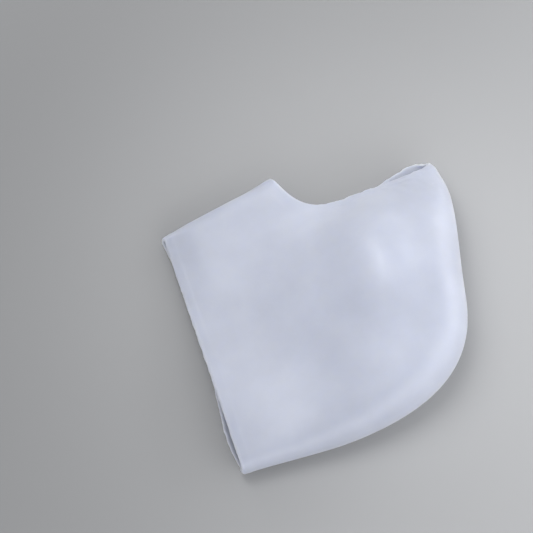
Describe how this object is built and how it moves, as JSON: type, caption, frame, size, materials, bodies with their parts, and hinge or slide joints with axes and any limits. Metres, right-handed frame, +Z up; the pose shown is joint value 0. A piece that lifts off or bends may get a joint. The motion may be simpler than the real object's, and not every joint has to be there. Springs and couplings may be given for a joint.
{
  "type": "silicone heel cover",
  "caption": "Soft translucent silicone sleeve, open at the midfoot and at the ankle, that wraps the foot and cups the heel; laid flat on its side.",
  "frame": {"origin": "under the middle of the cover's box, on the surface that the cover lies on", "axes": "+X along the sole towards the heel, +Y from the sole towards the ankle opening, +Z up from the surface, through both layers"},
  "size_m": [0.115, 0.1128, 0.0383],
  "materials": {
    "silicone": "milky translucent, satin moulded"
  },
  "bodies": {
    "root": {"heel_sleeve": "silicone"}
  },
  "joints": []
}
